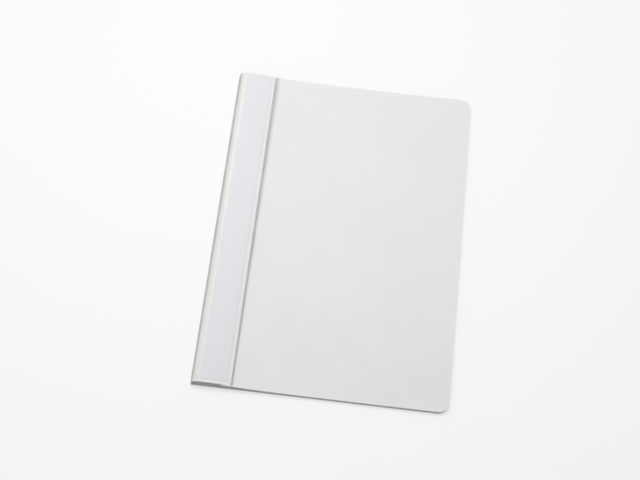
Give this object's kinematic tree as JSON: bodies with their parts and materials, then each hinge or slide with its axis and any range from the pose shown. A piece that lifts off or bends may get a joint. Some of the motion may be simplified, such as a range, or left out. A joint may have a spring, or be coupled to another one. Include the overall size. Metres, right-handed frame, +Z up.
{
  "type": "fastener folder",
  "caption": "Closed A4 film folder with a label pocket along its raised spine, a hinged front cover and a two-prong fastener inside.",
  "frame": {"origin": "middle of the closed folder's footprint, on the surface that it lies on", "axes": "+X from the spine to the fore-edge, +Y along the spine from foot to head, +Z up out of the front cover"},
  "size_m": [0.226, 0.31, 0.0133],
  "materials": {
    "sheet_film": "matt off-white polypropylene film, fine grain",
    "cover_film": "matt light grey polypropylene film, fine grain",
    "window_film": "clear film with a soft shine",
    "label_paper": "bright white uncoated paper",
    "tinplate": "bright tinned steel strip"
  },
  "bodies": {
    "back": {"back_cover": "sheet_film", "back_crease": "sheet_film", "fastener_flap": "sheet_film", "prong_strip": "tinplate", "compressor_bar": "tinplate"},
    "spine": {"spine_panel": "sheet_film", "front_crease": "sheet_film"},
    "strip": {"label_strip": "sheet_film", "cover_tab": "cover_film", "cover_crease": "cover_film", "label_window": "window_film"},
    "cover": {"front_cover": "cover_film"},
    "label": {"label_insert": "label_paper"},
    "upper_lock": {"upper_lock": "tinplate"},
    "lower_lock": {"lower_lock": "tinplate"}
  },
  "joints": [
    {"name": "spine_fold", "type": "hinge", "parent": "back", "child": "spine", "pos_m": [-0.11267, 0, 0.00056], "axis": [0, -1, 0], "range_deg": [0, 80], "deforming": ["back_crease"]},
    {"name": "strip_fold", "type": "hinge", "parent": "spine", "child": "strip", "pos_m": [-0.11107, 0, 0.00969], "axis": [0, -1, 0], "range_deg": [0, 100], "deforming": ["front_crease"]},
    {"name": "cover_fold", "type": "hinge", "parent": "strip", "child": "cover", "pos_m": [-0.076, 0, 0.01052], "axis": [0, -1, 0], "range_deg": [0, 180], "deforming": ["cover_crease"]},
    {"name": "label_slide", "type": "slide", "parent": "strip", "child": "label", "axis": [0, 1, 0], "range_m": [0, 0.29]},
    {"name": "upper_lock_slide", "type": "slide", "parent": "back", "child": "upper_lock", "axis": [0, -1, 0], "range_m": [0, 0.0125]},
    {"name": "lower_lock_slide", "type": "slide", "parent": "back", "child": "lower_lock", "axis": [0, 1, 0], "range_m": [0, 0.0125]}
  ],
  "couplings": [
    {"joint": "strip_fold", "follows": "spine_fold", "ratio": 1.25}
  ]
}
